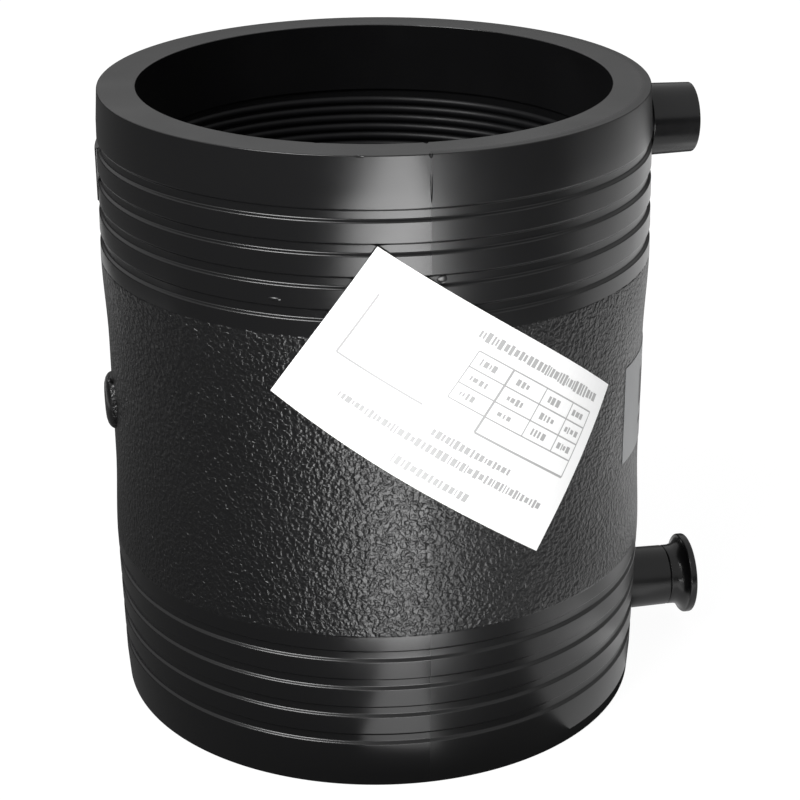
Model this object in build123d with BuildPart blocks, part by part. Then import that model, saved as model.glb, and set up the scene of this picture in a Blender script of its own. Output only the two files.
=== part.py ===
"""Electrofusion coupler for 110 mm polyethylene pipe.

The coupler stands on its lower mouth. The origin is on the bore's axis in the plane of
that mouth, +Z runs up the bore, and both electrical terminals point along +X.
Lengths are in millimetres and angles in degrees, measured about +Z from +X.
"""

import os
from math import cos, radians, sin, tan

from build123d import *

# ---- Socket and barrel ----
pipe_diameter = 110.0
pipe_play = 0.9  # on the diameter, between the pipe and the socket
barrel_length = 152.0
mouth_wall = 8.95  # thickness at each mouth face
band_wall = 9.45  # where the mouth band ends
band_height = 7.2
shoulder_wall = 10.15  # thickest, where the grooves end and the grained waist begins
shoulder_height = 40.0  # from the nearer mouth
waist_wall = 9.4  # the narrow middle of the barrel
waist_length = 30.0

# ---- Grooves round each end ----
groove_count = 4
groove_first = 12.8  # centre of the first groove, from its mouth
groove_pitch = 7.35
groove_width = 2.8
groove_depth = 0.7
groove_wall_run = 0.45  # how far each sloping wall runs along the barrel

# ---- Heating wire, wound before the body is moulded round it ----
wire_turns = 8  # in each fusion zone
wire_pitch = 2.4  # the jacket's diameter, because the turns touch
fusion_start = 17.0  # depth of the first turn, from its mouth
lead_diameter = 1.6  # the bare stretches, at the pins and between the zones
bridge_angle = 40.0  # where the run between the zones lies

# ---- Pipe stop, a ridge round the bore at mid length ----
stop_height = 3.0
stop_rise = 2.2  # from the bore's wall towards the axis

# ---- Terminal shrouds, moulded on the barrel ----
terminal_offset = 13.6  # from each mouth to the terminal's axis
shroud_length = 11.2  # from the barrel's widest radius out to the shroud's rim
shroud_diameter = 15.6
shroud_draft = 1.4  # degrees, the shroud is a little thicker at its root
shroud_wall = 1.65
shroud_depth = 10.2

# ---- Contact pins ----
pin_diameter = 4.7
pin_recess = 1.4  # from the shroud's rim down to the pin's tip
pin_tip_chamfer = 0.6
pin_cover = 0.8  # plastic left between the pin's foot and the bore

# ---- Push-over cap on the upper shroud ----
cap_play = 0.05
cap_wall = 0.55
cap_end = 1.4
cap_edge = 0.8
cap_gap = 0.45  # left between the skirt and the barrel

# ---- Flanged plug in the lower shroud ----
plug_play = 0.05
plug_spigot_length = 7.5
plug_spigot_wall = 1.1
plug_collar_width = 2.0
plug_flange_diameter = 20.8
plug_flare = 2.6  # length of the slope from the collar out to the flange
plug_flange_width = 1.9
plug_edge = 0.7

# ---- Melt indicators ----
indicator_offset = 24.2  # from the mouth, on the land between two grooves
indicator_angle = 16.0  # beside the terminals
indicator_diameter = 3.6
indicator_play = 0.1
indicator_length = 4.0
indicator_rise = 0.3

# ---- Gate stub opposite the terminals ----
gate_diameter = 14.0
gate_rise = 1.9
gate_edge = 1.1

# ---- Marking pad beside the gate ----
pad_start = 159.6
pad_sweep = 18.0
pad_bottom = 125.4
pad_height = 12.8
pad_rise = 0.7

# ---- Labels ----
label_width = 75.0
label_height = 41.5
label_angle = -83.4
label_centre = 94.2
label_tilt = -35.0
label_thickness = 0.15
strip_height = 24.5
strip_bottom = 65.5
strip_sweep = 74.0  # centred on the terminals
strip_thickness = 0.12

# ---- Worked out from the sizes above ----
bore_radius = (pipe_diameter + pipe_play) / 2
mouth_radius = bore_radius + mouth_wall
band_radius = bore_radius + band_wall
shoulder_radius = bore_radius + shoulder_wall
waist_radius = bore_radius + waist_wall
shroud_reach = shoulder_radius + shroud_length
coil_radius = bore_radius + wire_pitch
coil_length = wire_turns * wire_pitch
mid_length = barrel_length / 2
lower_terminal = terminal_offset
upper_terminal = barrel_length - terminal_offset
lead_radius = bore_radius + wire_pitch / 2


def side_plane(height, angle=0.0):
    """A plane through the axis: x runs outwards at the angle, y runs up."""
    outwards = (cos(radians(angle)), sin(radians(angle)), 0)
    return Plane(
        origin=(0, 0, height),
        x_dir=outwards,
        z_dir=(outwards[1], -outwards[0], 0),
    )


def facing_plane(reach, height, angle=0.0):
    """A plane that looks outwards at the angle, a given reach from the axis."""
    outwards = (cos(radians(angle)), sin(radians(angle)), 0)
    return Plane(
        origin=(reach * outwards[0], reach * outwards[1], height),
        x_dir=(-outwards[1], outwards[0], 0),
        z_dir=outwards,
    )


def outer_line(proud=0.0):
    """Draw the barrel's outer line, from the lower mouth up, pushed out by proud."""
    lower_half = [
        (mouth_radius + proud, 0),
        (band_radius + proud, band_height),
        (shoulder_radius + proud, shoulder_height),
        (waist_radius + proud, mid_length - waist_length / 2),
    ]
    upper_half = [(radius, barrel_length - height) for radius, height in reversed(lower_half)]
    Polyline(*lower_half, *upper_half)


def barrel_radius(height):
    """The barrel's outer radius at a height within one of its grooved ends."""
    depth = min(height, barrel_length - height)
    share = (depth - band_height) / (shoulder_height - band_height)
    return band_radius + share * (shoulder_radius - band_radius)


def skin(thickness, angle=0.0):
    """Sketch, at an angle, the section of a thin skin that lies on the whole barrel."""
    with BuildSketch(side_plane(0, angle)) as section:
        with BuildLine():
            outer_line()
            outer_line(thickness)
            Line((mouth_radius, 0), (mouth_radius + thickness, 0))
            Line((mouth_radius, barrel_length), (mouth_radius + thickness, barrel_length))
        make_face()
    return section.sketch


# ---- Heating wire: two tight windings, the run between them and a lead to each pin ----
with BuildPart() as heating_wire:
    for first in (fusion_start, barrel_length - fusion_start - coil_length):
        with BuildSketch(Plane.XY.offset(first)):
            Circle(coil_radius)
            Circle(bore_radius, mode=Mode.SUBTRACT)
        extrude(amount=coil_length)
    bridge_x = lead_radius * cos(radians(bridge_angle))
    bridge_y = lead_radius * sin(radians(bridge_angle))
    bridge_start = fusion_start + coil_length
    with BuildSketch(Plane.XY.offset(bridge_start)):
        with Locations((bridge_x, bridge_y)):
            Circle(lead_diameter / 2)
    extrude(amount=barrel_length - 2 * bridge_start)
    with BuildSketch(Plane.XY.offset(lower_terminal)):
        with Locations((lead_radius, 0)):
            Circle(lead_diameter / 2)
    extrude(amount=fusion_start - lower_terminal)
    with BuildSketch(Plane.XY.offset(barrel_length - fusion_start)):
        with Locations((lead_radius, 0)):
            Circle(lead_diameter / 2)
    extrude(amount=fusion_start - terminal_offset)


# ---- Contact pins: turned brass, from a foot in the barrel's wall to a chamfered tip ----
def contact_pin(height):
    """Make one pin on its terminal's axis."""
    foot = bore_radius + pin_cover
    tip = shroud_reach - pin_recess
    with BuildPart() as pin:
        with BuildSketch(facing_plane(foot, height)):
            Circle(pin_diameter / 2)
        extrude(amount=tip - foot)
        chamfer(pin.faces().sort_by(Axis.X)[-1].edges(), pin_tip_chamfer)
    return pin.part


with BuildPart() as terminal_pin_lower:
    add(contact_pin(lower_terminal))

with BuildPart() as terminal_pin_upper:
    add(contact_pin(upper_terminal))

# The leads end on the pins' flanks.
with heating_wire:
    add(terminal_pin_lower.part, mode=Mode.SUBTRACT)
    add(terminal_pin_upper.part, mode=Mode.SUBTRACT)


# ---- Melt indicators: small pins in blind wells over the fusion zones ----
def indicator_cylinder(height, radius):
    """A pin's form, or its well's, from the well's floor out past the barrel."""
    reach = barrel_radius(height) + indicator_rise
    with BuildPart() as cylinder:
        with BuildSketch(facing_plane(reach - indicator_length, height, indicator_angle)):
            Circle(radius)
        extrude(amount=indicator_length)
    return cylinder.part


with BuildPart() as melt_indicator_lower:
    add(indicator_cylinder(indicator_offset, indicator_diameter / 2))

with BuildPart() as melt_indicator_upper:
    add(indicator_cylinder(barrel_length - indicator_offset, indicator_diameter / 2))

# ---- Coupler body: one moulding round the wire and the pins ----
with BuildPart() as coupler_body:
    # Barrel
    with BuildSketch(Plane.XZ):
        with BuildLine():
            outer_line()
            Polyline((mouth_radius, 0), (0, 0), (0, barrel_length), (mouth_radius, barrel_length))
        make_face()
    revolve(axis=Axis.Z)

    # Grooves, the same number round each end
    with BuildSketch(Plane.XZ):
        for groove in range(groove_count):
            depth = groove_first + groove * groove_pitch
            for centre in (depth, barrel_length - depth):
                rim = barrel_radius(centre)
                half = groove_width / 2
                floor_half = half - groove_wall_run
                with BuildLine():
                    Polyline(
                        (rim + groove_depth, centre - half - groove_wall_run),
                        (rim - groove_depth, centre - floor_half),
                        (rim - groove_depth, centre + floor_half),
                        (rim + groove_depth, centre + half + groove_wall_run),
                        close=True,
                    )
                make_face()
    revolve(axis=Axis.Z, mode=Mode.SUBTRACT)

    # Marking pad
    with BuildSketch(side_plane(pad_bottom, pad_start)):
        with Locations((band_radius - groove_depth - pad_rise, 0)):
            Rectangle(
                shoulder_radius - band_radius + groove_depth + 2 * pad_rise,
                pad_height,
                align=(Align.MIN, Align.MIN),
            )
    revolve(axis=Axis.Z, revolution_arc=pad_sweep)

    # Gate stub
    with BuildSketch(facing_plane(bore_radius + wire_pitch, mid_length, 180)):
        Circle(gate_diameter / 2)
    extrude(amount=waist_radius + gate_rise - bore_radius - wire_pitch)
    chamfer(coupler_body.faces().sort_by(Axis.X)[0].edges(), gate_edge)

    # Shrouds
    for height in (lower_terminal, upper_terminal):
        with BuildSketch(facing_plane(shroud_reach, height)):
            Circle(shroud_diameter / 2)
        extrude(amount=-(shroud_reach - coil_radius - wire_pitch), taper=-shroud_draft)
        with BuildSketch(facing_plane(shroud_reach, height)):
            Circle(shroud_diameter / 2 - shroud_wall)
        extrude(amount=-shroud_depth, mode=Mode.SUBTRACT)

    # One socket from each mouth to the pipe stop, and the narrower way through the stop
    socket_depth = (barrel_length - stop_height) / 2
    for mouth, inwards in ((0, 1), (barrel_length, -1)):
        with BuildSketch(Plane.XY.offset(mouth)):
            Circle(bore_radius)
        extrude(amount=inwards * socket_depth, mode=Mode.SUBTRACT)
    with BuildSketch(Plane.XY.offset(socket_depth)):
        Circle(bore_radius - stop_rise)
    extrude(amount=stop_height, mode=Mode.SUBTRACT)

    # Seats of the wire, the pins and the indicators
    with BuildSketch(Plane.XZ):
        for first in (fusion_start, barrel_length - fusion_start - coil_length):
            with Locations((bore_radius - wire_pitch, first)):
                Rectangle(2 * wire_pitch, coil_length, align=(Align.MIN, Align.MIN))
    revolve(axis=Axis.Z, mode=Mode.SUBTRACT)
    add(heating_wire.part, mode=Mode.SUBTRACT)
    add(terminal_pin_lower.part, mode=Mode.SUBTRACT)
    add(terminal_pin_upper.part, mode=Mode.SUBTRACT)
    well_radius = indicator_diameter / 2 + indicator_play
    add(indicator_cylinder(indicator_offset, well_radius), mode=Mode.SUBTRACT)
    add(indicator_cylinder(barrel_length - indicator_offset, well_radius), mode=Mode.SUBTRACT)


# ---- Upper terminal's cap: a cup pushed over the shroud ----
with BuildPart() as terminal_cap_upper:
    skirt = shoulder_radius + cap_gap
    shroud_root = shroud_diameter / 2 + (shroud_reach - skirt) * tan(radians(shroud_draft))
    socket_radius = shroud_root + cap_play
    cap_radius = socket_radius + cap_wall
    end = shroud_reach + cap_end
    with BuildSketch(side_plane(upper_terminal)):
        with BuildLine():
            Polyline(
                (skirt, socket_radius),
                (skirt, cap_radius),
                (end - cap_edge, cap_radius),
                (end, cap_radius - cap_edge),
                (end, 0),
                (shroud_reach, 0),
                (shroud_reach, socket_radius),
                close=True,
            )
        make_face()
    revolve(axis=Axis((0, 0, upper_terminal), (1, 0, 0)))

# ---- Lower terminal's plug: a hollow spigot, a collar and a broad flange ----
with BuildPart() as terminal_plug_lower:
    spigot_radius = shroud_diameter / 2 - shroud_wall - plug_play
    collar_radius = shroud_diameter / 2
    flange_radius = plug_flange_diameter / 2
    spigot_end = shroud_reach - plug_spigot_length
    flare_start = shroud_reach + plug_collar_width
    flange_start = flare_start + plug_flare
    flange_end = flange_start + plug_flange_width
    with BuildSketch(side_plane(lower_terminal)):
        with BuildLine():
            Polyline(
                (flange_end, 0),
                (flange_end, flange_radius - plug_edge),
                (flange_end - plug_edge, flange_radius),
                (flange_start, flange_radius),
                (flare_start, collar_radius),
                (shroud_reach, collar_radius),
                (shroud_reach, spigot_radius),
                (spigot_end, spigot_radius),
                (spigot_end, spigot_radius - plug_spigot_wall),
                (shroud_reach, spigot_radius - plug_spigot_wall),
                (shroud_reach, 0),
                close=True,
            )
        make_face()
    revolve(axis=Axis((0, 0, lower_terminal), (1, 0, 0)))


# ---- Labels: thin skins that follow the barrel ----
def wrapped(along, up):
    """Where a point of the flat label lands, seen straight on at the label's middle."""
    tilt = radians(label_tilt)
    around = along * cos(tilt) - up * sin(tilt)
    rise = along * sin(tilt) + up * cos(tilt)
    return (waist_radius * sin(around / waist_radius), rise)


with BuildPart() as instruction_label:
    add(skin(label_thickness))
    revolve(axis=Axis.Z)
    half_width = label_width / 2
    half_height = label_height / 2
    corners = [
        (-half_width, -half_height),
        (half_width, -half_height),
        (half_width, half_height),
        (-half_width, half_height),
    ]
    with BuildSketch(facing_plane(0, label_centre, label_angle)):
        with BuildLine():
            for start, end in zip(corners, corners[1:] + corners[:1]):
                middle = ((start[0] + end[0]) / 2, (start[1] + end[1]) / 2)
                Spline(wrapped(*start), wrapped(*middle), wrapped(*end))
        make_face()
    extrude(amount=shroud_reach, mode=Mode.INTERSECT)

with BuildPart() as traceability_label:
    add(skin(strip_thickness, -strip_sweep / 2))
    revolve(axis=Axis.Z, revolution_arc=strip_sweep)
    with Locations((0, 0, strip_bottom)):
        Cylinder(
            shroud_reach,
            strip_height,
            align=(Align.CENTER, Align.CENTER, Align.MIN),
            mode=Mode.INTERSECT,
        )

# ---- Hand-over ----
pieces = {
    "coupler_body": coupler_body,
    "heating_wire": heating_wire,
    "terminal_pin_lower": terminal_pin_lower,
    "terminal_pin_upper": terminal_pin_upper,
    "terminal_cap_upper": terminal_cap_upper,
    "terminal_plug_lower": terminal_plug_lower,
    "melt_indicator_lower": melt_indicator_lower,
    "melt_indicator_upper": melt_indicator_upper,
    "instruction_label": instruction_label,
    "traceability_label": traceability_label,
}
os.makedirs("parts", exist_ok=True)
for name, piece in pieces.items():
    piece.part.label = name
    export_step(piece.part, f"parts/{name}.step")
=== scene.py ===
import random
from math import cos, pi, radians, sin

import bpy
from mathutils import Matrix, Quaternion, Vector


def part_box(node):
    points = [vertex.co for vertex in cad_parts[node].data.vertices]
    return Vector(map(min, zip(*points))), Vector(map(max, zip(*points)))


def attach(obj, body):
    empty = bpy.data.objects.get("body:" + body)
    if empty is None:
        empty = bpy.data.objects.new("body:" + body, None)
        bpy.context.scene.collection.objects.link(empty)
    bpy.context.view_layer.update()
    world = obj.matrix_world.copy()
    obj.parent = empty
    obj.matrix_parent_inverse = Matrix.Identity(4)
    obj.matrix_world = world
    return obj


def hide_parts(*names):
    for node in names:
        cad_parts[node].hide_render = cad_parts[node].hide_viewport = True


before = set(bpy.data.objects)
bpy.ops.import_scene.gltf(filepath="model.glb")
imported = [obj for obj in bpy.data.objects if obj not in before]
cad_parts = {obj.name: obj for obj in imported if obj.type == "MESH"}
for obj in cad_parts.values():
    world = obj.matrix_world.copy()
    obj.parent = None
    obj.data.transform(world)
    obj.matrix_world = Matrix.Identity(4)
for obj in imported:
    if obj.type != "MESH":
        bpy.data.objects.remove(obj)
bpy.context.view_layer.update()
mm = 0.001

# ---- Heating wire ----
# One resistance wire in a black plastic jacket. It is wound on a mandrel in two tight zones,
# with a straight run between them and a short lead from each zone to its pin.
barrel_length = 152.0 * mm
terminal_offset = 13.6 * mm
wire_pitch = 2.4 * mm
wire_turns = 7
wire_radius = wire_pitch / 2
wire_sides = 14
steps_per_turn = 90
wire_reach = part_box("heating_wire")[1][0]
winding_radius = wire_reach - wire_radius
zone_starts = (17.0 * mm, 115.8 * mm)
lead_radius = 0.8 * mm
lead_sides = 12
bridge_angle = radians(40)


def deselect_all():
    bpy.ops.object.select_all(action="DESELECT")


def select_only(piece):
    """Select the piece alone, and make it the one that operators work on."""
    deselect_all()
    piece.select_set(True)
    bpy.context.view_layer.objects.active = piece


def finish_modifier(piece):
    """Apply the piece's only modifier."""
    bpy.context.view_layer.objects.active = piece
    bpy.ops.object.modifier_apply(modifier=piece.modifiers[0].name)


def join_pieces(name, pieces):
    """Join the pieces into the first one, and name it."""
    select_only(pieces[0])
    for piece in pieces[1:]:
        piece.select_set(True)
    bpy.ops.object.join()
    pieces[0].name = name
    return pieces[0]


def place_in_mesh(piece):
    """Put the object's place and turn into its mesh."""
    select_only(piece)
    bpy.ops.object.transform_apply(location=True, rotation=True, scale=True)


def copy_up(piece, distance):
    """A copy of the piece, with a mesh of its own, moved up."""
    twin = piece.copy()
    twin.data = piece.data.copy()
    bpy.context.collection.objects.link(twin)
    twin.location = (0, 0, distance)
    place_in_mesh(twin)
    return twin


def new_material(name):
    """A material with its node tree and its shader."""
    material = bpy.data.materials.new(name)
    material.use_nodes = True
    return material, material.node_tree, material.node_tree.nodes["Principled BSDF"]


def feed(tree, socket, value):
    """Link the socket to another node's output, or set it to a plain number."""
    if isinstance(value, bpy.types.NodeSocket):
        tree.links.new(value, socket)
    else:
        socket.default_value = value


def ramp(tree, value, start, end, low=0.0, high=1.0, shape="LINEAR"):
    """Map the value from start..end to low..high, and hold it past both ends."""
    node = tree.nodes.new("ShaderNodeMapRange")
    node.interpolation_type = shape
    feed(tree, node.inputs["Value"], value)
    feed(tree, node.inputs["From Min"], start)
    feed(tree, node.inputs["From Max"], end)
    feed(tree, node.inputs["To Min"], low)
    feed(tree, node.inputs["To Max"], high)
    return node.outputs["Result"]


def plastic(name, colour, glossiest, dullest, patch, ripple_depth):
    """A moulding plastic whose gloss wanders in patches and whose skin ripples faintly."""
    material, tree, shader = new_material(name)
    shader.inputs["Base Color"].default_value = (*colour, 1)
    place = tree.nodes.new("ShaderNodeTexCoord")
    place.name = "place"
    blotches = tree.nodes.new("ShaderNodeTexNoise")
    blotches.inputs["Scale"].default_value = 1 / patch
    blotches.inputs["Detail"].default_value = 4.0
    tree.links.new(place.outputs["Object"], blotches.inputs["Vector"])
    gloss = ramp(tree, blotches.outputs["Fac"], 0.3, 0.7, glossiest, dullest)
    gloss.node.name = "gloss"
    tree.links.new(gloss, shader.inputs["Roughness"])
    skin = tree.nodes.new("ShaderNodeBump")
    skin.name = "skin"
    skin.inputs["Strength"].default_value = 1.0
    skin.inputs["Distance"].default_value = ripple_depth
    tree.links.new(blotches.outputs["Fac"], skin.inputs["Height"])
    tree.links.new(skin.outputs["Normal"], shader.inputs["Normal"])
    return material


def dress(piece, material):
    """Give the piece one material and ride it on the coupler."""
    piece.data.materials.clear()
    piece.data.materials.append(material)
    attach(piece, "root")


first_turns = [start + wire_radius for start in zone_starts]
last_turns = [start + wire_turns * wire_pitch + wire_radius for start in zone_starts]
deselect_all()
bpy.ops.mesh.primitive_circle_add(
    vertices=wire_sides,
    radius=wire_radius,
    location=(winding_radius, 0, first_turns[0]),
    rotation=(radians(90), 0, 0),
)
lower_zone = bpy.context.object
place_in_mesh(lower_zone)
winding = lower_zone.modifiers.new("winding", "SCREW")
winding.angle = 2 * pi
winding.screw_offset = wire_pitch
winding.iterations = wire_turns
winding.steps = steps_per_turn
winding.render_steps = steps_per_turn
winding.use_merge_vertices = False
finish_modifier(lower_zone)
upper_zone = copy_up(lower_zone, zone_starts[1] - zone_starts[0])

strands = [lower_zone, upper_zone]
runs = [
    (0.0, terminal_offset, first_turns[0]),
    (0.0, last_turns[1], barrel_length - terminal_offset),
    (bridge_angle, last_turns[0], first_turns[1]),
]
for angle, bottom, top in runs:
    deselect_all()
    bpy.ops.mesh.primitive_cylinder_add(
        vertices=lead_sides,
        radius=lead_radius,
        depth=top - bottom,
        location=(winding_radius * cos(angle), winding_radius * sin(angle), (bottom + top) / 2),
    )
    place_in_mesh(bpy.context.object)
    strands.append(bpy.context.object)
heating_wire = join_pieces("wound_wire", strands)
bpy.ops.object.mode_set(mode="EDIT")
bpy.ops.mesh.select_all(action="SELECT")
bpy.ops.mesh.fill_holes(sides=wire_sides)
bpy.ops.mesh.normals_make_consistent(inside=False)
bpy.ops.object.mode_set(mode="OBJECT")
bpy.ops.object.shade_smooth()

wire_jacket = plastic(
    "wire_jacket",
    colour=(0.005, 0.005, 0.0055),
    glossiest=0.34,
    dullest=0.46,
    patch=4 * mm,
    ripple_depth=0.02 * mm,
)
wire_jacket.node_tree.nodes["Principled BSDF"].inputs["Specular IOR Level"].default_value = 0.15
dress(heating_wire, wire_jacket)
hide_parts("heating_wire")

# ---- Contact pins ----
# Turned brass pins, pushed into the mould before the body is filled round them. The welding
# lead's socket slides over their tips.
brass, brass_tree, brass_shader = new_material("turned_brass")
brass_shader.inputs["Base Color"].default_value = (0.72, 0.53, 0.24, 1)
brass_shader.inputs["Metallic"].default_value = 1.0
brass_place = brass_tree.nodes.new("ShaderNodeTexCoord")
brass_rings = brass_tree.nodes.new("ShaderNodeTexWave")
brass_rings.bands_direction = "X"
brass_rings.inputs["Scale"].default_value = 900
brass_tree.links.new(brass_place.outputs["Object"], brass_rings.inputs["Vector"])
brass_gloss = ramp(brass_tree, brass_rings.outputs["Fac"], 0.0, 1.0, 0.22, 0.34)
brass_tree.links.new(brass_gloss, brass_shader.inputs["Roughness"])
for name in ("terminal_pin_lower", "terminal_pin_upper"):
    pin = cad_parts[name]
    pin.data.materials.clear()
    pin.data.materials.append(brass)

# ---- Coupler body ----
# One injection moulding of black polyethylene, filled round the wound wire and the pins: a
# barrel with four grooves round each end, a grained waist, two terminal shrouds, a cut gate
# stub, a marking pad, and a stop ridge inside.
mouth_radius = 64.4 * mm
band_radius = 64.9 * mm
band_height = 7.2 * mm
shoulder_radius = 65.6 * mm
shoulder_height = 40.0 * mm
waist_radius = 64.85 * mm
waist_start = 61.0 * mm
waist_steps = 8
bore_radius = 55.45 * mm
groove_count = 4
groove_first = 12.8 * mm
groove_pitch = 7.35 * mm
groove_width = 2.8 * mm
groove_depth = 0.7 * mm
groove_wall_run = 0.45 * mm
furrow_depth = 0.6 * mm
stop_height = 3.0 * mm
stop_rise = 2.2 * mm
barrel_sides = 320
merge_distance = 0.001 * mm


def barrel_radius(height):
    """The barrel's outer radius at a height, without its grooves."""
    depth = min(height, barrel_length - height)
    if depth < band_height:
        return mouth_radius + (band_radius - mouth_radius) * depth / band_height
    if depth < shoulder_height:
        share = (depth - band_height) / (shoulder_height - band_height)
        return band_radius + share * (shoulder_radius - band_radius)
    if depth < waist_start:
        share = (depth - shoulder_height) / (waist_start - shoulder_height)
        smooth = share * share * (3 - 2 * share)
        return shoulder_radius + smooth * (waist_radius - shoulder_radius)
    return waist_radius


def turned(name, outline, sides, closed=True):
    """Turn an outline of (radius, height) points about Z, from a ring of edges that is extruded
    point by point. An outline that isn't closed gets its two end rings filled."""
    deselect_all()
    radius, height = outline[0]
    bpy.ops.mesh.primitive_circle_add(vertices=sides, radius=radius, location=(0, 0, height))
    piece = bpy.context.object
    piece.name = name
    place_in_mesh(piece)
    bpy.ops.object.mode_set(mode="EDIT")
    bpy.ops.mesh.select_all(action="SELECT")
    for next_radius, next_height in outline[1:]:
        bpy.ops.mesh.extrude_edges_move(
            TRANSFORM_OT_translate={"value": (0, 0, next_height - height)}
        )
        scale = next_radius / radius
        bpy.ops.transform.resize(value=(scale, scale, 1), center_override=(0, 0, next_height))
        radius, height = next_radius, next_height
    bpy.ops.mesh.select_all(action="SELECT")
    bpy.ops.mesh.remove_doubles(threshold=merge_distance)
    if not closed:
        bpy.ops.mesh.fill_holes(sides=sides)
    bpy.ops.mesh.select_all(action="SELECT")
    bpy.ops.mesh.normals_make_consistent(inside=False)
    bpy.ops.object.mode_set(mode="OBJECT")
    return piece


def soften(piece, width, segments, angle):
    """Round the piece's edges that are sharper than the angle."""
    bevel = piece.modifiers.new("soft_edges", "BEVEL")
    bevel.width = width
    bevel.segments = segments
    bevel.limit_method = "ANGLE"
    bevel.angle_limit = radians(angle)
    bevel.use_clamp_overlap = True
    finish_modifier(piece)


def shade(piece, angle):
    """Smooth the piece up to the angle, with its broad faces kept flat beside their round edges."""
    select_only(piece)
    bpy.ops.object.shade_smooth_by_angle(angle=radians(angle))
    piece.modifiers.new("broad_faces", "WEIGHTED_NORMAL").keep_sharp = True
    finish_modifier(piece)


def mirrored_up(points):
    """The lower half's outline, followed by the same outline upside down for the upper half."""
    return points + [(radius, barrel_length - height) for radius, height in reversed(points)]


def side_of_barrel():
    """The outline of the barrel's outer side from the lower mouth up, grooves included."""
    points = [(mouth_radius, 0.0), (band_radius, band_height)]
    for groove in range(groove_count):
        centre = groove_first + groove * groove_pitch
        half = groove_width / 2
        floor_radius = barrel_radius(centre) - groove_depth
        points.append((barrel_radius(centre - half), centre - half))
        points.append((floor_radius, centre - half + groove_wall_run))
        points.append((floor_radius, centre + half - groove_wall_run))
        points.append((barrel_radius(centre + half), centre + half))
    points.append((shoulder_radius, shoulder_height))
    for step in range(1, waist_steps):
        height = shoulder_height + (waist_start - shoulder_height) * step / waist_steps
        points.append((barrel_radius(height), height))
    points.append((waist_radius, waist_start))
    return mirrored_up(points)


def inside_of_barrel():
    """The outline of the bore from the upper mouth down to the lower one."""
    furrow_radius = bore_radius + furrow_depth
    furrow_start = zone_starts[0]
    furrow_end = furrow_start + (wire_turns + 1) * wire_pitch
    stop_start = (barrel_length - stop_height) / 2
    points = [
        (bore_radius, 0.0),
        (bore_radius, furrow_start),
        (furrow_radius, furrow_start + 0.5 * furrow_depth),
        (furrow_radius, furrow_end - 0.5 * furrow_depth),
        (bore_radius, furrow_end),
        (bore_radius, stop_start),
        (bore_radius - stop_rise, stop_start),
    ]
    return list(reversed(mirrored_up(points)))


def boss(name, outline, sides, height, angle):
    """Turn an outline about an axis that points out of the barrel at a height and an angle."""
    piece = turned(name, outline, sides, closed=False)
    piece.rotation_euler = (0, radians(90), radians(angle))
    piece.location = (0, 0, height)
    place_in_mesh(piece)
    return piece


def combine(piece, tool, operation):
    """Add the tool to the piece or cut it out, then drop the tool."""
    cut = piece.modifiers.new("cut", "BOOLEAN")
    cut.operation = operation
    cut.solver = "EXACT"
    cut.object = tool
    finish_modifier(piece)
    bpy.data.objects.remove(tool)


barrel_outline = side_of_barrel() + inside_of_barrel()
coupler = turned("moulded_body", barrel_outline + barrel_outline[:1], barrel_sides)
soften(coupler, width=0.22 * mm, segments=3, angle=20)

shroud_sides = 64
shroud_reach = 76.8 * mm
shroud_radius = 7.8 * mm
shroud_root_radius = 8.05 * mm
shroud_root = shoulder_radius - 5 * mm
hollow_radius = shroud_radius - 1.65 * mm
hollow_floor = shroud_reach - 10.2 * mm
past_the_rim = shroud_reach + 1 * mm
terminal_spacing = barrel_length - 2 * terminal_offset
shroud_outline = [(shroud_root_radius, shroud_root), (shroud_radius, shroud_reach)]
lower_shroud = boss("shroud", shroud_outline, shroud_sides, terminal_offset, 0)
soften(lower_shroud, width=0.3 * mm, segments=2, angle=40)
upper_shroud = copy_up(lower_shroud, terminal_spacing)
hollow_outline = [(hollow_radius, hollow_floor), (hollow_radius, past_the_rim)]
lower_hollow = boss("hollow", hollow_outline, shroud_sides, terminal_offset, 0)
upper_hollow = copy_up(lower_hollow, terminal_spacing)
for shroud, hollow in ((lower_shroud, lower_hollow), (upper_shroud, upper_hollow)):
    combine(coupler, shroud, "UNION")
    combine(coupler, hollow, "DIFFERENCE")

gate_sides = 64
gate_radius = 7.0 * mm
gate_root = waist_radius - 4 * mm
gate_reach = waist_radius + 1.9 * mm
gate_scar = 1.1 * mm
# Each ring of the cut face: its share of the gate's radius, and how many scar depths it lies
# below the highest ring.
gate_face = (
    (1.0, 1.6),
    (0.93, 0.9),
    (0.8, 0.4),
    (0.62, 0.08),
    (0.48, 0.0),
    (0.3, 0.35),
    (0.1, 0.6),
)
gate_outline = [(gate_radius, gate_root)]
for share, drop in gate_face:
    gate_outline.append((share * gate_radius, gate_reach - drop * gate_scar))
gate = boss("gate", gate_outline, gate_sides, barrel_length / 2, 180)
soften(gate, width=0.4 * mm, segments=3, angle=25)
combine(coupler, gate, "UNION")

pad_radius = shoulder_radius - 0.05 * mm
pad_root = band_radius - 1.4 * mm
pad_start, pad_sweep = radians(159.6), radians(18.0)
pad_bottom, pad_height = 125.4 * mm, 12.8 * mm
pad_steps = 16
pad_middle = (pad_radius + pad_root) / 2
deselect_all()
bpy.ops.mesh.primitive_plane_add(size=1)
pad = bpy.context.object
pad.scale = (pad_radius - pad_root, pad_height, 1)
pad.rotation_euler = (radians(90), 0, pad_start)
pad.location = (
    pad_middle * cos(pad_start),
    pad_middle * sin(pad_start),
    pad_bottom + pad_height / 2,
)
place_in_mesh(pad)
bpy.ops.object.mode_set(mode="EDIT")
bpy.ops.mesh.select_all(action="SELECT")
bpy.ops.mesh.spin(steps=pad_steps, angle=-pad_sweep, center=(0, 0, 0), axis=(0, 0, 1))
bpy.ops.mesh.select_all(action="SELECT")
bpy.ops.mesh.remove_doubles(threshold=merge_distance)
bpy.ops.mesh.normals_make_consistent(inside=False)
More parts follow.
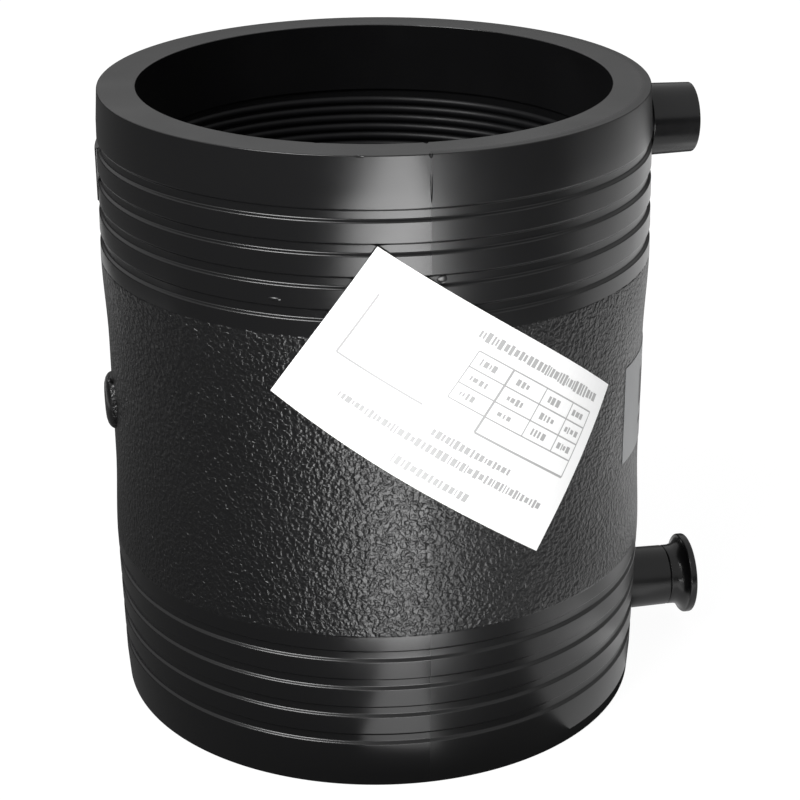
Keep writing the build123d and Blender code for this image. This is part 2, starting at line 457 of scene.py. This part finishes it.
bpy.ops.object.mode_set(mode="OBJECT")
soften(pad, width=0.25 * mm, segments=2, angle=50)
combine(coupler, pad, "UNION")


def crumb(name, radius, angle, height, size, stretch, facing=None):
    """A small lump of plastic at an angle in degrees round the barrel. It is stretched outwards,
    round the barrel and upwards, unless facing turns it another way."""
    turn = radians(angle)
    deselect_all()
    bpy.ops.mesh.primitive_ico_sphere_add(subdivisions=2, radius=size)
    piece = bpy.context.object
    piece.name = name
    piece.scale = stretch
    piece.rotation_euler = facing or (0, 0, turn)
    piece.location = (radius * cos(turn), radius * sin(turn), height)
    place_in_mesh(piece)
    return piece


torn_burr = crumb(
    "burr",
    radius=gate_reach - 1.0 * mm,
    angle=183,
    height=barrel_length / 2 + 6.6 * mm,
    size=0.7 * mm,
    stretch=(1.1, 1.4, 0.5),
)
combine(coupler, torn_burr, "UNION")
chip_height = 124.9 * mm
chip = crumb(
    "chip",
    radius=barrel_radius(chip_height) - 0.4 * mm,
    angle=-88.0,
    height=chip_height,
    size=1.1 * mm,
    stretch=(0.25, 1.1, 1.0),
    facing=(0, radians(-37), radians(-117)),
)
combine(coupler, chip, "UNION")
scuff_height = 120 * mm
scuff = crumb(
    "scuff",
    radius=barrel_radius(scuff_height) - 0.3 * mm,
    angle=-119.6,
    height=scuff_height,
    size=0.8 * mm,
    stretch=(0.8, 2.2, 0.7),
)
combine(coupler, scuff, "UNION")
# Each nick in the upper mouth's two edges, and the scratch on the parting line: radius, angle,
# height, size and stretch.
nicks = (
    (bore_radius, -113.1, barrel_length, 0.9 * mm, (0.5, 1.2, 0.5)),
    (bore_radius, -116.5, barrel_length, 0.6 * mm, (0.5, 1.6, 0.4)),
    (bore_radius, -89.3, barrel_length, 1.1 * mm, (1.1, 0.5, 0.6)),
    (mouth_radius, -103.1, barrel_length, 0.9 * mm, (0.5, 1.3, 0.5)),
    (mouth_radius, -90.0, barrel_length, 0.7 * mm, (0.9, 0.6, 1.3)),
    (band_radius, -90.0, 145.5 * mm, 0.45 * mm, (0.8, 0.6, 9.0)),
)
for nick in nicks:
    combine(coupler, crumb("nick", *nick), "DIFFERENCE")
shade(coupler, angle=30)

polyethylene = plastic(
    "black_polyethylene",
    colour=(0.0045, 0.0045, 0.0048),
    glossiest=0.20,
    dullest=0.27,
    patch=20 * mm,
    ripple_depth=0.03 * mm,
)
poly_tree = polyethylene.node_tree
poly_nodes, poly_links = poly_tree.nodes, poly_tree.links
poly_shader = poly_nodes["Principled BSDF"]
poly_place = poly_nodes["place"].outputs["Object"]
patchy_gloss = poly_nodes["gloss"].outputs["Result"]
grain_margin = 0.3 * mm
grain_fade = 0.4 * mm
inner_side, outer_side = 62 * mm, 63 * mm
skin_margin = 0.15 * mm
skin_fade = 0.25 * mm
grain_scale = 1000
grain_depth = 0.28 * mm
grain_dulling = 0.1
duller_half_by = 0.09


def arithmetic(tree, operation, *values):
    """A Math node's result from plain numbers and other nodes' outputs."""
    node = tree.nodes.new("ShaderNodeMath")
    node.operation = operation
    for socket, value in zip(node.inputs, values):
        feed(tree, socket, value)
    return node.outputs["Value"]


def between(tree, value, low, high, fade):
    """A mask that is 1 where the value lies between two limits and fades out past them."""
    rising = ramp(tree, value, low - fade, low)
    falling = ramp(tree, value, high + fade, high)
    return arithmetic(tree, "MULTIPLY", rising, falling)


split = poly_nodes.new("ShaderNodeSeparateXYZ")
poly_links.new(poly_place, split.inputs["Vector"])
flat = poly_nodes.new("ShaderNodeCombineXYZ")
poly_links.new(split.outputs["X"], flat.inputs["X"])
poly_links.new(split.outputs["Y"], flat.inputs["Y"])
from_axis = poly_nodes.new("ShaderNodeVectorMath")
from_axis.operation = "LENGTH"
poly_links.new(flat.outputs["Vector"], from_axis.inputs[0])

# The grain lies on the barrel's own skin between the two shoulders, not on the shrouds, the gate
# or the bore.
grain_start = shoulder_height + grain_margin
grain_zone = between(
    poly_tree, split.outputs["Z"], grain_start, barrel_length - grain_start, grain_fade
)
barrel_skin = between(
    poly_tree, from_axis.outputs["Value"], outer_side, shoulder_radius + skin_margin, skin_fade
)
grain_mask = arithmetic(poly_tree, "MULTIPLY", grain_zone, barrel_skin)
worms = poly_nodes.new("ShaderNodeTexNoise")
worms.inputs["Scale"].default_value = grain_scale
worms.inputs["Detail"].default_value = 1.5
worms.inputs["Roughness"].default_value = 0.45
worms.inputs["Distortion"].default_value = 0.35
poly_links.new(poly_place, worms.inputs["Vector"])
worm_shape = ramp(poly_tree, worms.outputs["Fac"], 0.25, 0.85, shape="SMOOTHSTEP")
grain = poly_nodes.new("ShaderNodeBump")
grain.inputs["Strength"].default_value = 1.0
grain.inputs["Distance"].default_value = grain_depth
worm_height = arithmetic(poly_tree, "MULTIPLY", worm_shape, grain_mask)
poly_links.new(worm_height, grain.inputs["Height"])
poly_links.new(grain.outputs["Normal"], poly_nodes["skin"].inputs["Normal"])

# The half of the mould on the terminals' side leaves a duller skin outside, and so does the grain.
outside = ramp(poly_tree, from_axis.outputs["Value"], inner_side, outer_side)
terminal_side = arithmetic(poly_tree, "GREATER_THAN", split.outputs["X"], 0.0)
duller_half = arithmetic(poly_tree, "MULTIPLY", terminal_side, outside)
half_gloss = arithmetic(poly_tree, "MULTIPLY_ADD", duller_half, duller_half_by, patchy_gloss)
grain_gloss = arithmetic(poly_tree, "MULTIPLY_ADD", grain_mask, grain_dulling, half_gloss)
poly_links.new(grain_gloss, poly_shader.inputs["Roughness"])
dress(coupler, polyethylene)
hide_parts("coupler_body")

# ---- Melt indicators ----
# Small polyethylene pins in blind wells over the fusion zones. The melt pushes them out when
# the weld is made.
indicator_plastic = plastic(
    "indicator_plastic",
    colour=(0.010, 0.010, 0.011),
    glossiest=0.3,
    dullest=0.42,
    patch=2 * mm,
    ripple_depth=0.02 * mm,
)
for name in ("melt_indicator_lower", "melt_indicator_upper"):
    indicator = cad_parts[name]
    indicator.data.materials.clear()
    indicator.data.materials.append(indicator_plastic)

# ---- Upper terminal's cap ----
# A thin moulded polyethylene cup with a slightly domed end. It is pushed over the shroud to keep
# dirt off the pin, and is pulled off by hand.
cap_low, cap_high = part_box("terminal_cap_upper")
cap_radius = (cap_high[2] - cap_low[2]) / 2
cap_skirt, cap_tip = cap_low[0], cap_high[0]
cap_sides = 96
cap_wall = 0.5 * mm
cap_crown = 0.5 * mm
cap_tip_radius = cap_radius - 0.3 * mm
cap_inner_radius = cap_radius - cap_wall
# Each ring of the domed end: its share of the cap's radius, and its share of the crown's height
# below the tip. The last one is small enough to fill flat.
smallest_ring = 0.02
cap_end = ((0.62, 0.25), (0.3, 0.05), (smallest_ring, 0.0))
cap_outline = [
    (cap_inner_radius, cap_skirt),
    (cap_radius, cap_skirt),
    (cap_tip_radius, cap_tip - cap_crown),
]
for share, drop in cap_end:
    cap_outline.append((share * cap_radius, cap_tip - drop * cap_crown))
cap_outline += [
    (smallest_ring * cap_radius, shroud_reach),
    (cap_inner_radius, shroud_reach),
    (cap_inner_radius, cap_skirt),
]
cap = boss("push_on_cap", cap_outline, cap_sides, barrel_length - terminal_offset, 0)
soften(cap, width=0.9 * mm, segments=5, angle=45)
shade(cap, angle=35)
cap_plastic = plastic(
    "cap_plastic",
    colour=(0.004, 0.004, 0.0043),
    glossiest=0.2,
    dullest=0.3,
    patch=9 * mm,
    ripple_depth=0.03 * mm,
)
dress(cap, cap_plastic)
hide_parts("terminal_cap_upper")

# ---- Lower terminal's plug ----
# A polyethylene moulding of the cap's material. Its hollow spigot is pushed into the shroud, and
# it flares out to a broad flange to pull it out by.
plug_low, plug_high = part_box("terminal_plug_lower")
flange_radius = (plug_high[2] - plug_low[2]) / 2
spigot_start, plug_tip = plug_low[0], plug_high[0]
spigot_radius = 6.1 * mm
spigot_bore = 5.0 * mm
flare_start = 78.4 * mm
flare_steps = 8
flange_start = 81.2 * mm
flange_sides = 96
plug_crown = 0.15 * mm
plug_centre = 0.02 * mm
# Each ring of the flange's face, as a share of its radius.
flange_face = (1.0, 0.8, 0.55, 0.3, plug_centre / flange_radius)
plug_outline = [
    (plug_centre, shroud_reach),
    (spigot_bore, shroud_reach),
    (spigot_bore, spigot_start),
    (spigot_radius, spigot_start),
    (spigot_radius, shroud_reach),
    (shroud_radius, shroud_reach),
    (shroud_radius, flare_start),
]
for step in range(1, flare_steps + 1):
    turn = radians(90) * step / flare_steps
    flare_radius = flange_radius - (flange_radius - shroud_radius) * cos(turn)
    plug_outline.append((flare_radius, flare_start + (flange_start - flare_start) * sin(turn)))
for share in flange_face:
    plug_outline.append((share * flange_radius, plug_tip - plug_crown * share * share))
plug = boss("flanged_plug", plug_outline, flange_sides, terminal_offset, 0)
soften(plug, width=0.85 * mm, segments=5, angle=45)
shade(plug, angle=35)
dress(plug, cap_plastic)
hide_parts("terminal_plug_lower")

# ---- Labels ----
# Two printed paper stickers on the finished coupler: a white one stuck askew over the upper
# grooves and the waist, with a faint table and rows of bars, and a white strip round the terminal
# side with darker bars, whose paper is coloured grey as painted shade.
label_width = 75.0 * mm
label_height = 41.5 * mm
label_angle = radians(-83.4)
label_centre = 94.2 * mm
label_tilt = radians(-35.0)
label_rise = 0.15 * mm
label_thickness = 0.8 * label_rise
print_rise = 0.02 * mm
grid_step = 2.0 * mm


def stuck_on(piece, angle, centre, tilt):
    """Wrap a flat piece, drawn in X and Y with its thickness in Z, round the barrel."""
    for vertex in piece.data.vertices:
        along, up, proud = vertex.co
        around = along * cos(tilt) - up * sin(tilt)
        height = centre + along * sin(tilt) + up * cos(tilt)
        radius = barrel_radius(height) + proud
        turn = angle + around / waist_radius
        vertex.co = (radius * cos(turn), radius * sin(turn), height)


def rectangle(left, bottom, right, top, rise):
    """A flat rectangle, cut into a grid fine enough to bend."""
    deselect_all()
    bpy.ops.mesh.primitive_grid_add(
        x_subdivisions=max(1, round((right - left) / grid_step)),
        y_subdivisions=max(1, round((top - bottom) / grid_step)),
        size=1,
        location=((left + right) / 2, (bottom + top) / 2, rise),
    )
    piece = bpy.context.object
    piece.scale = (right - left, top - bottom, 1)
    place_in_mesh(piece)
    return piece


def sticker(name, width, height, rise, thickness, angle, centre, tilt):
    """A sheet of paper stuck on the barrel, with its face at a rise above the wall."""
    piece = rectangle(-width / 2, -height / 2, width / 2, height / 2, rise)
    piece.name = name
    thick = piece.modifiers.new("thickness", "SOLIDIFY")
    thick.thickness = thickness
    thick.offset = -1
    finish_modifier(piece)
    stuck_on(piece, angle, centre, tilt)
    return piece


def paper(name, colour, roughness):
    """Matt coated paper, or the ink on it, with a faint mottle."""
    material, tree, shader = new_material(name)
    shader.inputs["Roughness"].default_value = roughness
    place = tree.nodes.new("ShaderNodeTexCoord")
    mottle = tree.nodes.new("ShaderNodeTexNoise")
    mottle.inputs["Scale"].default_value = 180
    tone = tree.nodes.new("ShaderNodeMix")
    tone.data_type = "RGBA"
    tone.inputs["A"].default_value = (*[0.97 * part for part in colour], 1)
    tone.inputs["B"].default_value = (*colour, 1)
    tree.links.new(place.outputs["Object"], mottle.inputs["Vector"])
    tree.links.new(mottle.outputs["Fac"], tone.inputs["Factor"])
    tree.links.new(tone.outputs["Result"], shader.inputs["Base Color"])
    return material


label = sticker(
    "table_label",
    label_width,
    label_height,
    label_rise,
    label_thickness,
    label_angle,
    label_centre,
    label_tilt,
)
dress(label, paper("white_paper", (0.88, 0.88, 0.88), roughness=0.5))
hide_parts("instruction_label")

# What is printed is drawn in millimetres from the label's middle: a ruled table, a panel at its
# left, and bars where words would stand.
rule_width = 0.32 * mm
table_left, table_divide, table_right = -5.3, 5.2, 33.8
table_columns = (table_left, 16.5, 26.5)
table_rows = (12.9, 8.9, 4.8, 0.8)
table_top, table_base = table_rows[0], table_rows[-1]
footer_base = -3.3
panel_left, panel_right = -31.3, -9.0
panel_base, panel_top = -3.5, 12.4
heavy_rule, heavier_rule, heaviest_rule = 1.5 * rule_width, 1.6 * rule_width, 2 * rule_width
bar_widths = (0.35, 1.3)
bar_gaps = (0.3, 0.6)
# Each row of bars: left and right end, height, shortest and tallest bar.
word_rows = (
    (-7.5, 33.0, 16.3, 1.5, 2.6),
    (-25.5, 32.0, -11.4, 1.2, 2.2),
    (-3.5, 18.5, -7.7, 1.2, 2.2),
    (-7.5, 12.7, -17.2, 1.4, 2.4),
)
cell_starts = (-3.4, 7.6, 18.4, 27.6)
cell_rows = (10.9, 6.8, 2.8)
cell_words = 4.4
cell_bar_heights = (0.9, 1.7)
rules = []
ink = random.Random(4)


def upright(x, bottom, top, width=rule_width):
    """An upright rule, from bottom to top."""
    rules.append((x * mm - width / 2, bottom * mm, x * mm + width / 2, top * mm))


def level_rule(y, left, right, width=rule_width):
    """A level rule, from left to right."""
    rules.append((left * mm, y * mm - width / 2, right * mm, y * mm + width / 2))


def bars(left, right, y, shortest, tallest):
    """A row of plain bars of uneven width, where the printed words would stand."""
    x = left
    while x < right:
        width = ink.uniform(*bar_widths)
        height = ink.uniform(shortest, tallest)
        rules.append((x * mm, (y - height / 2) * mm, (x + width) * mm, (y + height / 2) * mm))
        x += width + ink.uniform(*bar_gaps)


def printed(name, rise, angle, centre, tilt):
    """Lay all the rules and bars drawn so far on a label, as one piece."""
    marks = join_pieces(name, [rectangle(*rule, rise) for rule in rules])
    rules.clear()
    stuck_on(marks, angle, centre, tilt)
    return marks


for y in table_rows:
    level_rule(y, table_left, table_right)
level_rule(footer_base, table_divide, table_right, heavier_rule)
for x in table_columns:
    upright(x, table_base, table_top)
upright(table_divide, footer_base, table_top, heaviest_rule)
upright(table_right, footer_base, table_top)
upright(panel_left, panel_base, panel_top, heavy_rule)
level_rule(panel_base, panel_left, panel_right, heavy_rule)
for row in word_rows:
    bars(*row)
for cell_start in cell_starts:
    for y in cell_rows:
        bars(cell_start, cell_start + cell_words, y, *cell_bar_heights)
label_print = printed(
    "table_print", label_rise + print_rise, label_angle, label_centre, label_tilt
)
dress(label_print, paper("grey_ink", (0.38, 0.38, 0.38), roughness=0.5))

strip_low, strip_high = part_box("traceability_label")
strip_width = waist_radius * radians(74.0)
strip_height = strip_high[2] - strip_low[2]
strip_centre = (strip_high[2] + strip_low[2]) / 2
strip_rise = 0.12 * mm
strip_thickness = 0.1 * mm
strip_rows = ((-28.0, 34.0, 2.0, 9.5, 9.5), (-28.0, 10.0, -6.5, 1.4, 2.0))
strip = sticker(
    "strip_label", strip_width, strip_height, strip_rise, strip_thickness, 0.0, strip_centre, 0.0
)
# The strip's paper is white; its mid-grey colour here is painted shade.
dress(strip, paper("painted_shade_strip_paper", (0.22, 0.225, 0.23), roughness=0.45))
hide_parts("traceability_label")
for row in strip_rows:
    bars(*row)
strip_print = printed("strip_print", strip_rise + print_rise, 0.0, strip_centre, 0.0)
dress(strip_print, paper("dark_ink", (0.05, 0.05, 0.05), roughness=0.5))

# ---- Floor, light and camera ----
# A plain pale floor under a sky that is dim low down and bright above. A large soft lamp stands
# high at the left. Lit cards lie on the floor in front, at the right and behind at the left, and
# the glossy barrel shows them as a bright column and pale edges.
floor_size = 6
bpy.ops.mesh.primitive_plane_add(size=floor_size, location=(0, 0, 0))
floor = bpy.context.object
floor.name = "floor"
pale, pale_tree, pale_shader = new_material("pale_floor")
pale_shader.inputs["Base Color"].default_value = (0.10, 0.10, 0.10, 1)
pale_shader.inputs["Roughness"].default_value = 0.9
pale_shader.inputs["Specular IOR Level"].default_value = 0.0
pale_shader.inputs["Emission Color"].default_value = (1, 1, 1, 1)
floor_lift = 0.95
rays = pale_tree.nodes.new("ShaderNodeLightPath")
lift = arithmetic(pale_tree, "MULTIPLY", rays.outputs["Is Camera Ray"], floor_lift)
pale_tree.links.new(lift, pale_shader.inputs["Emission Strength"])
floor.data.materials.append(pale)

world = bpy.data.worlds.new("studio")
bpy.context.scene.world = world
world.use_nodes = True
world_tree = world.node_tree
background = world_tree.nodes["Background"]
background.inputs["Color"].default_value = (1, 1, 1, 1)
dim_up_to, bright_from = radians(12.0), radians(14.4)
dim_sky, bright_sky, seen_sky = 0.04, 0.58, 1.0
direction = world_tree.nodes.new("ShaderNodeTexCoord")
upwards = world_tree.nodes.new("ShaderNodeSeparateXYZ")
world_tree.links.new(direction.outputs["Generated"], upwards.inputs["Vector"])
haze = ramp(
    world_tree, upwards.outputs["Z"], sin(dim_up_to), sin(bright_from), dim_sky, bright_sky
)
sight = world_tree.nodes.new("ShaderNodeLightPath")
level = ramp(world_tree, sight.outputs["Is Camera Ray"], 0.0, 1.0, haze, seen_sky)
world_tree.links.new(level, background.inputs["Strength"])

view_turn = radians(-10.4)
card_height = 3 * mm


def bearing(azimuth, distance, height):
    """A place by its bearing from the side that faces the camera, positive to the right."""
    angle = radians(azimuth) - radians(90) + view_turn
    return Vector((distance * cos(angle), distance * sin(angle), height))


def soft_lamp(name, place, aim, width, tall, radiance):
    """A rectangular lamp of even radiance, which the camera doesn't see."""
    lamp = bpy.data.lights.new(name, "AREA")
    lamp.shape = "RECTANGLE"
    lamp.size = width
    lamp.size_y = tall
    lamp.energy = radiance * pi * width * tall
    stand = bpy.data.objects.new(name, lamp)
    stand.location = place
    stand.rotation_euler = (aim - place).to_track_quat("-Z", "Y").to_euler()
    stand.visible_camera = False
    bpy.context.collection.objects.link(stand)
    return stand


def floor_card(name, azimuth, near, far, width, radiance, aside=0.0):
    """A lit card that lies on the floor, face up, from near to far along a bearing. It can be
    moved aside, towards the greater bearings."""
    place = bearing(azimuth, (near + far) / 2, card_height) + bearing(azimuth + 90, aside, 0.0)
    card = soft_lamp(name, place, place + Vector((0, 0, 1)), width, far - near, radiance)
    card.rotation_euler = (radians(180), 0, -(radians(azimuth) + view_turn))


soft_lamp(
    "key_lamp",
    place=bearing(azimuth=-43, distance=1.55, height=1.6),
    aim=Vector((0, 0, 0.08)),
    width=1.05,
    tall=1.05,
    radiance=14.0,
)
# Each card: name, bearing, near end, far end, width, radiance.
cards = (
    ("front_card_far", 9.5, 0.40, 2.00, 0.31, 9.5),
    ("front_card_middle", 8.3, 0.20, 0.40, 0.115, 8.5),
    ("front_card_near", 7.5, 0.13, 0.20, 0.075, 9.5),
    ("front_card_foot", 7.0, 0.076, 0.13, 0.026, 2.2),
    ("right_card", 118, 0.20, 0.7, 0.5, 1.15),
    ("right_card_foot", 90, 0.075, 0.20, 0.22, 0.6),
    ("right_card_toe", 62, 0.069, 0.12, 0.07, 0.75),
)
for card in cards:
    floor_card(*card)
floor_card("left_card", -139, 0.06, 0.5, 0.07, 0.5, aside=0.065)

camera_data = bpy.data.cameras.new("camera")
camera_data.lens = 94.3
camera_data.sensor_width = 36
camera = bpy.data.objects.new("camera", camera_data)
camera.location = (-0.0866, -0.4719, 0.2734)
heading, dip, roll = radians(78.91), radians(22.94), radians(-0.2)
sight_line = Vector((cos(heading) * cos(dip), sin(heading) * cos(dip), -sin(dip)))
level_view = sight_line.to_track_quat("-Z", "Y")
camera.rotation_euler = (level_view @ Quaternion((0, 0, 1), roll)).to_euler()
bpy.context.collection.objects.link(camera)
bpy.context.scene.camera = camera
bpy.context.scene.view_settings.view_transform = "Standard"
